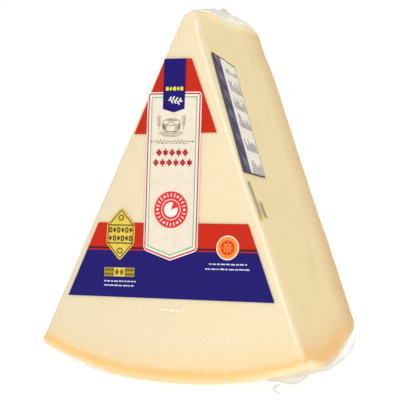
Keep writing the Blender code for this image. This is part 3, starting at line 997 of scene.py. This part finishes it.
# The lift is in hundredths of a millimetre over the film, and strokes keep their own roundness
def laid(name, pieces, tint, lift, field="front", step=None, strokes=False, replaced=()):
    piece = joined(name, pieces)
    if step:
        crossCut(piece, step / 2, step)
    relief = pointsOf(piece)[:, 1]
    bent, place = fields[field]
    piece.data.transform(Matrix.Translation((0, -0.012, 0)) @ bent)
    piece.matrix_world = place
    bpy.context.view_layer.update()
    project = {"wrap_method": "PROJECT", "wrap_mode": "ABOVE_SURFACE", "use_project_y": True}
    shaped(piece, "SHRINKWRAP", target=wrap, offset=lift * 1e-5, use_negative_direction=False, **project)
    if strokes:
        points = pointsOf(piece)
        points[:, 1] += relief
        movePoints(piece, points)
    else:
        inEdit(piece, lambda: bpy.ops.mesh.normals_make_consistent(inside=False))
        if sum(face.normal.y * face.area for face in piece.data.polygons) > 0:
            inEdit(piece, bpy.ops.mesh.flip_normals)
        shaped(piece, "SOLIDIFY", thickness=frontPrint["thickness"], offset=1)
    settled(piece)
    kept(piece, ink[tint], "printed_label" if field == "side" else "printed_film", *replaced, angle=30)


def band(low, high, shift=0.0):  # a band of the print's triangle between two heights
    piece = bar(0, (low + high) / 2, 1, high - low)
    points = pointsOf(piece)
    halfWidth = (frontPrint["point"] - points[:, 2]) * frontPrint["spread"]
    points[:, 0] = np.sign(points[:, 0]) * halfWidth + shift
    points[:, 2] += points[:, 0] * (frontPrint["tiltGrowth"] * points[:, 2] - 0.005)
    movePoints(piece, points)
    return piece


def makeFields():
    blueTop, thinTop, red = frontPrint["blueTop"], frontPrint["thinLineTop"], frontPrint["red"]
    laid("print_red_upper", [band(*frontPrint["upperRed"], -0.0005)], "red", 10, step=even)
    laid("print_red_lower", [band(*red)], "red", 10, step=even)
    laid("print_blue_lower", [band(0, blueTop)], "blue", 10, step=even)
    laid("print_dark_line", [band(thinTop, red[0])], "line", 10, step=even)
    laid("print_thin_red_line", [band(blueTop, thinTop)], "red", 10, step=even, replaced=("front_print",))


makeFields()
print("the printed fields are laid")


panel = {
    "halfWidth": 0.0164,
    "base": 0.0266,
    "top": 0.1138,
    "tip": 0.0210,
    "corner": 0.0022,
    "borders": (("white", 0.0006), ("border", 0.0008), ("white", 0.0011), ("green", 0.0006)),
}


def pennant(middle, low, high, half, tip, corner=0.0):  # a rectangle with a blunt point below
    piece = bar(middle, (low + high) / 2, 2 * half, high - low)

    def pointed():
        choose(piece, lambda spot: abs(spot.z - low) < 1e-6)
        bpy.ops.mesh.subdivide(number_cuts=1)
        choose(piece, lambda spot: abs(spot.x - middle) < 1e-6)
        bpy.ops.transform.translate(value=(0, 0, tip - low))
        if corner:
            choose(piece, lambda spot: abs(spot.x - middle) > 1e-6)
            bpy.ops.mesh.bevel(offset=corner, segments=6, affect="VERTICES")

    inEdit(piece, pointed)
    return piece


def panelShape(inset):  # the panel's outline, drawn in by this much
    low, high, tip = panel["base"] + inset * 0.8, panel["top"] - inset, panel["tip"] + inset * 1.1
    return pennant(0, low, high, panel["halfWidth"] - inset, tip, max(panel["corner"] - inset, 0.0004))


def makePanel():
    inset = 0.0
    for number, (tint, width) in enumerate(panel["borders"]):
        laid(f"print_panel_border_{number + 1}", [panelShape(inset)], tint, 18 + 5 * number, "panel", even)
        inset += width
    laid("print_panel_paper", [panelShape(inset)], "paper", 38, "panel", even)


def onCircle(across, up, radius, turn, squash=1.0):
    turn = math.radians(turn)
    return across + radius * math.cos(turn), up + radius * squash * math.sin(turn)


def arc(across, up, radius, start, end, steps=24, squash=1.0):
    turns = [start + (end - start) * i / (steps - 1) for i in range(steps)]
    return [onCircle(across, up, radius, turn, squash) for turn in turns]


def wave(left, right, up, height, waves, steps=60, taper=0.5):
    line = []
    for i in range(steps):
        share = i / (steps - 1)
        rise = height * (taper + (1 - taper) * math.sin(math.pi * share * 2.2) ** 2)
        line.append((left + (right - left) * share, up + rise * math.sin(2 * math.pi * waves * share)))
    return line


def lozenge(across, up, width, height, inner=0.0):
    piece = disc(across, up, width / 2, height / 2, 4)
    return openFrame(piece, inner) if inner else piece


def ring(across, up, radius, thickness, sides=64):
    return openFrame(disc(across, up, radius, sides=sides), thickness)


banner = {
    "middle": -0.0003,
    "base": 0.1045,
    "top": 0.1322,
    "half": 0.0066,
    "tip": 0.1025,
    "tiles": (-0.0001, 0.1156),
    "pitch": 0.0022,
    "sprigUp": 0.1090,
}


def makeBanner():  # with a row of yellow tiles, and a white sprig under it
    outline = pennant(banner["middle"], banner["base"], banner["top"], banner["half"], banner["tip"])
    laid("print_banner", [outline], "blue", 46, "panel", even)
    middle, up = banner["tiles"]
    tiles = []
    for i in range(5):
        across = middle + (i - 2) * banner["pitch"]
        if i % 2:
            tiles.append(lozenge(across, up, 0.0019, 0.0025))
        else:
            tiles.append(bar(across, up, 0.0017, 0.0021, rounded=0.0003))
    laid("print_banner_tiles", tiles, "yellow", 54, "panel")
    stem = wave(-0.0038, 0.0038, banner["sprigUp"], 0.0005, 0.8, 24, 1.0)
    leaves = []
    for i in range(3, 22, 3):
        side = 1 if i % 2 else -1
        leaf = (stem[i][0] + 0.0004, stem[i][1] + side * 0.0011)
        leaves.append(disc(*leaf, 0.0011, 0.00045, 16, side * 52))
    leaves.append(disc(0.0043, stem[-1][1] + 0.0002, 0.0007, 0.0005, 16))
    laid("print_banner_leaves", leaves, "white", 53, "panel")
    laid("print_banner_stem", [stroke(stem, 0.00042)], "white", 53, "panel", strokes=True)


makePanel()
makeBanner()
print("the panel and the banner are laid")


drawing = {"across": -0.0014, "up": 0.0972, "half": 0.0052, "squash": 0.36, "height": 0.0034, "line": 0.00036}


# A wheel of cheese with a piece marked out, between two stalks, on a hatched board
def wheelDrawing():
    x, z, half, squash, height, width = drawing.values()
    lines = []

    def draw(points, share=1.0):
        lines.append(stroke(points, width * share))

    draw(arc(x, z, half, 0, 360, 48, squash))
    draw(arc(x, z - height, half, 180, 360, 30, squash))
    for end in (-1, 1):
        draw([(x + end * half, z), (x + end * half, z - height)])
    for turn in (235, 300):
        across, up = onCircle(x, z, half, turn, squash)
        draw([(x, z), (across, up), (across, up - height)])
    for turn in [188 + i * 4.4 for i in range(11)] + [306 + i * 5.6 for i in range(9)]:
        across, up = onCircle(x, z, half, turn, squash)
        draw([(across, up - 0.0004), (across, up - height + 0.0004)], 0.55)
    for i in range(4):
        draw(arc(x, z, half * (0.3 + 0.16 * i), 20, 160, 14, squash), 0.6)
    for i in range(5):
        up, reach = z - height - 0.0020 - i * 0.00062, 0.0084 - abs(i - 1) * 0.0015
        draw(wave(x - reach, x + reach, up, 0.00014, 3 + i, 26), 0.8)
    for side in (-1, 1):
        foot = x + side * 0.0074
        draw([(foot, z - 0.0042), (foot + side * 0.0004, z + 0.0034)])
        for i in range(6):
            up = z - 0.0022 + i * 0.0010
            for end in (-1, 1):
                start = (foot + side * 0.0002, up)
                draw([start, (foot + end * 0.0012, up + 0.0008)], 0.8)
    return lines


# Two rows of ornaments, where the pack has its large words: (up, left end, right end, how many)
ornaments = {
    "rows": ((0.0804, -0.0104, 0.0095, 5), (0.0749, -0.0122, 0.0122, 6)),
    "height": 0.0043,
    "line": 0.00085,
}


def makeOrnaments():
    high = ornaments["height"]
    shapes = []
    for up, left, right, count in ornaments["rows"]:
        pitch = (right - left) / count
        for i in range(count):
            across = left + pitch * (i + 0.5)
            if i % 2 == 0:
                shapes.append(lozenge(across, up, pitch * 0.94, high, ornaments["line"]))
                shapes.append(disc(across, up, 0.00055, 0.0007, 20))
                continue
            for turn in (30, 90, 150):
                shapes.append(disc(across, up, pitch * 0.48, 0.00062, 24, turn))
            for end in (1, -1):
                shapes.append(disc(across, up + end * high * 0.42, 0.0004, sides=16))
    laid("print_ornament_rows", shapes, "ornament", 46, "panel")


def makeFlourish():  # a wavy line over a fainter one, with a dot at each end
    flourish = [
        stroke(wave(-0.0122, 0.0110, 0.0866, 0.0010, 11, 170, 0.3), 0.00036),
        stroke(wave(-0.0100, 0.0088, 0.0855, 0.0002, 3, 60, 1.0), 0.00026),
        disc(-0.0131, 0.0866, 0.0006, sides=20),
        disc(0.0119, 0.0866, 0.0006, sides=20),
    ]
    laid("print_flourish", flourish, "olive", 44, "panel", strokes=True)


laid("print_cheese_drawing", wheelDrawing(), "olive", 44, "panel", strokes=True)
makeFlourish()
makeOrnaments()
print("the panel's drawing and ornaments are laid")


# The red disc low on the panel: a ring of dots and dashes round a wheel of cheese that misses a wedge
mark = {
    "middle": (-0.0001, 0.0490),
    "radius": 0.0101,
    "ring": 0.0058,
    "wheel": 0.0041,
    "wedge": (20, 70),
    "dots": 24,
    "dotRing": 0.0081,
}


def openWheel():  # a disc without the piece between two turns
    across, up = mark["middle"]
    start, end = mark["wedge"]
    piece = disc(across, up, mark["wheel"], sides=60)

    def cutWedge():
        for turn, keep in ((start, 1), (end, -1)):
            lineOff = (-math.sin(math.radians(turn)) * keep, 0, math.cos(math.radians(turn)) * keep)
            bpy.ops.mesh.select_all(action="SELECT")
            bpy.ops.mesh.bisect(plane_co=(across, 0, up), plane_no=lineOff)
        bpy.ops.mesh.select_mode(type="FACE")
        bpy.ops.object.mode_set(mode="OBJECT")
        for face in piece.data.polygons:
            turn = math.degrees(math.atan2(face.center.z - up, face.center.x - across))
            face.select = start < turn < end
        bpy.ops.object.mode_set(mode="EDIT")
        bpy.ops.mesh.delete(type="FACE")
        bpy.ops.mesh.select_mode(type="VERT")

    inEdit(piece, cutWedge)
    return piece


def makeRoundMark():
    across, up = mark["middle"]
    laid("print_round_mark", [disc(across, up, mark["radius"], sides=96)], "brightRed", 45, "panel", coarse)
    marks = [ring(across, up, mark["ring"], 0.00042)]
    for i in range(mark["dots"]):
        turn = 360 / mark["dots"] * i
        spot = onCircle(across, up, mark["dotRing"], turn)
        if i % 4 == 0:
            marks.append(disc(*spot, 0.00072, sides=20))
        else:
            marks.append(bar(*spot, 0.0021, 0.00060, turn, 0.0002))
    laid("print_round_mark_lines", [*marks, openWheel()], "white", 53, "panel")


# The gold badge on the left, half on the red field and half on the blue
badge = {
    "middle": (-0.0312, 0.0351),
    "half": 0.0086,
    "height": 0.0148,
    "shoulder": 0.0052,
    "rounding": 0.0016,
    "lineUp": 0.0050,
    "ringUp": 0.0092,
    "blockUp": 0.0023,
    "pitch": 0.0025,
}


def badgeShape(inset):
    across, up = badge["middle"]
    half, shoulder = badge["half"] - inset, badge["shoulder"] - inset * 0.4
    piece = disc(across, up, half, badge["height"] - inset * 1.5, 6)
    points = pointsOf(piece)
    sides = np.abs(points[:, 0] - across) > half * 0.5
    points[sides, 0] = across + np.sign(points[sides, 0] - across) * half
    points[sides, 2] = up + np.sign(points[sides, 2] - up) * shoulder
    movePoints(piece, points)
    inEdit(piece, lambda: bpy.ops.mesh.bevel(offset=badge["rounding"], segments=6, affect="VERTICES"))
    return piece


def makeBadge():
    middle, up = badge["middle"]
    laid("print_badge", [badgeShape(0)], "gold", 19, step=coarse)
    lines = [openFrame(badgeShape(0.0006), 0.00055)]
    for end in (1, -1):
        lines.append(bar(middle, up + end * badge["lineUp"], 0.0158, 0.0007))
        lines.append(ring(middle, up + end * badge["ringUp"], 0.0017, 0.0006, 32))
        for i in range(6):
            spot = (middle + (i - 2.5) * badge["pitch"], up + end * badge["blockUp"])
            if (i + (end > 0)) % 2:
                lines.append(openFrame(bar(*spot, 0.0020, 0.0030, rounded=0.0004), 0.0007))
            else:
                lines.append(lozenge(*spot, 0.0022, 0.0032))
    laid("print_badge_lines", lines, "darkGold", 27)


# The bar under the badge
strip = {
    "middle": (-0.0310, 0.0140),
    "ends": 0.0062,
    "centre": 0.0066,
    "height": 0.0050,
    "pitch": 0.0014,
    "row": 0.0012,
}


def makeStrip():
    middle, up = strip["middle"]
    across = [middle + side * strip["ends"] for side in (-1, 1)]
    ends = [bar(spot, up, strip["ends"], strip["height"]) for spot in across]
    laid("print_bar_ends", ends, "oliveGold", 19)
    laid("print_bar_middle", [bar(middle, up, strip["centre"], strip["height"])], "gold", 20)
    blocks = [lozenge(middle + shift, up, 0.0024, 0.0038, 0.0007) for shift in (-0.0015, 0.0015)]
    for side in across:
        for i in range(8):
            row = up + strip["row"] * (1 if i < 4 else -1)
            blocks.append(bar(side + (i % 4 - 1.5) * strip["pitch"], row, 0.0010, 0.0013))
    laid("print_bar_blocks", blocks, "darkGold", 28)


# Lines of small print as plain strips: (left, right, up, height), and each line's number is its seed
smallLines = (
    (-0.0402, -0.0207, 0.0089, 0.0008),
    (-0.0402, -0.0207, 0.0065, 0.0008),
    (0.0232, 0.0456, 0.0197, 0.0008),
    (0.0211, 0.0474, 0.0170, 0.0008),
    (-0.0050, 0.0065, -0.0062, 0.0012),
)


def smallPrint(seed):  # strips of uneven length
    draw = random.Random(seed)
    across, right, up, height = smallLines[seed - 1]
    pieces = []
    while across < right - 0.0008:
        length = min(draw.uniform(0.0009, 0.0030), right - across)
        level = up + draw.uniform(-0.00006, 0.00006)
        pieces.append(bar(across + length / 2, level, length, height * draw.uniform(0.8, 1)))
        across += length + draw.uniform(0.0004, 0.0008)
    return pieces


def makeSmallPrint():
    laid("print_small_lines", [piece for seed in (1, 2, 3, 4) for piece in smallPrint(seed)], "paleBlue", 19)


# The round seal on the right
seal = {
    "middle": (0.0339, 0.0287),
    "radius": 0.0067,
    "ring": 0.0061,
    "rays": 0.0051,
    "centre": 0.0041,
    "petals": 0.0020,
}


def makeSeal():
    middle = seal["middle"]
    laid("print_seal_rim", [disc(*middle, seal["radius"])], "white", 19, step=coarse)
    laid("print_seal_ring", [disc(*middle, seal["ring"])], "orange", 27, step=coarse)
    rays = []
    for turn in range(0, 360, 15):
        rays.append(bar(*onCircle(*middle, seal["rays"], turn), 0.0011, 0.00034, turn))
    laid("print_seal_centre", [*rays, disc(*middle, seal["centre"])], "sealRed", 35)
    petals = []
    for turn in range(0, 360, 45):
        petals.append(disc(*onCircle(*middle, seal["petals"], turn), 0.0010, 0.00042, 20, turn))
    laid("print_seal_petals", [*petals, disc(*middle, 0.0006, sides=20)], "orange", 43)


makeRoundMark()
makeBadge()
makeStrip()
makeSmallPrint()
makeSeal()
laid("print_faint_line", [*smallPrint(5), ring(0.0088, -0.0062, 0.0011, 0.0004, 24)], "faint", 10)
print("the marks on the fields are laid")


# The label on the right cut: a violet strip in front, a pale part with blocks of small print behind
sideLabel = {
    "corners": ((0.0097, -0.0293), (0.0393, -0.0351), (0.0325, -0.1022), (0.0039, -0.1000)),
    "strip": ((0.0097, -0.0293), (0.0195, -0.0312), (0.0140, -0.1008), (0.0039, -0.1000)),
    "edge": 0.0008,
    "mesh": 0.002,
    "groups": (0.06, 0.22, 0.37, 0.53, 0.73, 0.93),  # where the blocks stand, 0 to 1 down the label
    "blockLength": 0.0085,
    "shortLength": 0.0034,
    "pale": ((-0.03, 0.12, 0.0048, 0.0010), (-0.01, 0.20, 0.0066, 0.0007), (-0.02, 0.27, 0.0040, 0.0006)),
}


def fourSided(corners):
    piece = bar(0, 0, 1, 1)
    points = pointsOf(piece)
    order = [(-1, 1), (1, 1), (1, -1), (-1, -1)]
    for row in points:
        row[0], row[2] = corners[order.index((np.sign(row[0]), np.sign(row[2])))]
    movePoints(piece, points)
    return piece


def onLabel(down, across):  # 0 to 1 down the label, and 0 to 1 from its front edge to its rear one
    a, b, c, d = (Vector(corner) for corner in sideLabel["corners"])
    return a.lerp(b, across).lerp(d.lerp(c, across), down)


def labelBlock(down, across, length, width):
    spot = onLabel(down, across)
    heading = onLabel(min(down + 0.02, 1), across) - onLabel(max(down - 0.02, 0), across)
    return bar(spot.x, spot.y, width, length, -math.degrees(math.atan2(heading.x, -heading.y)))


def makeLabel():
    label = sideLabel
    outer, strip = label["corners"], label["strip"]
    laid("label_edge", [fourSided(outer)], "darkEdge", 14, "side", label["mesh"], replaced=("side_label",))
    laid("label_ground", [drawnIn(fourSided(outer), label["edge"])], "palePrint", 22, "side", label["mesh"])
    laid("label_strip", [drawnIn(fourSided(strip), label["edge"])], "violet", 30, "side", label["mesh"])
    draw = random.Random(12)
    blocks, pale = [], []
    for group, middle in enumerate(label["groups"]):
        for column in range(9):
            length = draw.uniform(0.35, 1.0) * label["blockLength" if group else "shortLength"]
            down = middle + (label["blockLength"] - length) / 0.139
            blocks.append(labelBlock(down, 0.45 + column * 0.058, length, 0.00075))
        pale += [labelBlock(middle + down, *rest) for down, *rest in label["pale"]]
    laid("label_small_print", blocks, "greyPrint", 30, "side")
    laid("label_strip_print", pale, "paleViolet", 38, "side")


# What is printed under the label: two lines, three short strips and a dot
lowerMarks = {
    "lines": ((0.0049, -0.1150, 0.0005, 0.0195), (0.0069, -0.1150, 0.0005, 0.0195)),
    "strips": (
        (0.0110, -0.1215, 0.0006, 0.0095),
        (0.0121, -0.1218, 0.0006, 0.0083),
        (0.0132, -0.1221, 0.0006, 0.0095),
    ),
    "dot": (0.0052, -0.1262, 0.0012, 0.0020, 24),
}


def makeLowerMarks():
    laid("label_lower_lines", [bar(*line) for line in lowerMarks["lines"]], "darkEdge", 12, "side", coarse)
    laid("label_lower_print", [bar(*strip) for strip in lowerMarks["strips"]], "brownPrint", 12, "side")
    laid("label_lower_dot", [disc(*lowerMarks["dot"])], "leaf", 12, "side")


makeLabel()
makeLowerMarks()
print("the side label is laid")


# Floor, light and camera
studio = {
    "floorRadius": 9.0,
    "floorDrop": 0.0003,
    "floorGlow": 0.80,
    "world": 0.60,
    "lamps": {
        "key_light": {"place": (1.0, -1.30, 0.72), "size": 1.5, "power": 8.75},
        "right_light": {"place": (1.9, -0.5, 0.75), "size": 1.4, "power": 3.6},
        "rim_light": {"place": (-1.9, 0.9, 0.7), "size": 1.6, "power": 6.0},
        "top_light": {"place": (-0.7, -0.5, 2.1), "size": 1.4, "power": 7.0},
    },
}


def floorMaterial():
    r = Recipe("pale_floor")
    speck = r.noise(r.place(), 3.0, 3.0)
    tint = r.mix(speck, colour(160, 160, 160), colour(164, 164, 164))
    glow = {"Emission_Color": (1, 1, 1, 1), "Emission_Strength": studio["floorGlow"]}
    return r.done(r.surface(Base_Color=tint, Roughness=0.6, **glow))


def makeFloor():
    bpy.ops.mesh.primitive_circle_add(vertices=96, radius=studio["floorRadius"], fill_type="NGON")
    floor = named("pale_floor")
    floor.location.z = -studio["floorDrop"]
    settled(floor)
    floor.data.materials.append(floorMaterial())


def makeLight(name, values):
    bpy.ops.object.light_add(type="AREA", location=values["place"])
    lamp = bpy.context.object
    lamp.name = name
    lamp.data.shape, lamp.data.size, lamp.data.energy = "DISK", values["size"], values["power"]
    aim = Vector((0, 0.03, 0.1)) - Vector(values["place"])
    lamp.rotation_euler = aim.to_track_quat("-Z", "Y").to_euler()


def makeWorld():
    world = bpy.data.worlds.new("white_studio")
    bpy.context.scene.world = world
    world.use_nodes = True
    nodes, links = world.node_tree.nodes, world.node_tree.links
    back = nodes["Background"]
    back.inputs["Color"].default_value = (1, 1, 1, 1)
    seen = nodes.new("ShaderNodeMapRange")  # seen pure white, and lights a little less
    seen.inputs["To Min"].default_value = studio["world"]
    links.new(nodes.new("ShaderNodeLightPath").outputs["Is Camera Ray"], seen.inputs["Value"])
    links.new(seen.outputs["Result"], back.inputs["Strength"])


camera = {
    "azimuth": math.radians(24.503),
    "elevation": math.radians(6.845),
    "distance": 1.0092,
    "target": (0.0085, -0.00225, 0.10256),
    "lens": 1820.9 * 36 / 400,
}


def makeCamera():
    side, tilt = camera["azimuth"], camera["elevation"]
    back = Vector((math.sin(side) * math.cos(tilt), -math.cos(side) * math.cos(tilt), math.sin(tilt)))
    bpy.ops.object.camera_add(location=Vector(camera["target"]) + back * camera["distance"])
    lens = bpy.context.object
    lens.rotation_euler = (-back).to_track_quat("-Z", "Y").to_euler()
    lens.data.sensor_width, lens.data.lens = 36, camera["lens"]
    lens.data.clip_start, lens.data.clip_end = 0.05, 60
    lens.data.dof.use_dof = False
    bpy.context.scene.camera = lens


makeFloor()
for name, values in studio["lamps"].items():
    makeLight(name, values)
makeWorld()
makeCamera()
bpy.context.scene.view_settings.view_transform = "Standard"
bpy.context.scene.cycles.transparent_max_bounces = 24
print("floor, light and camera are set")

import json
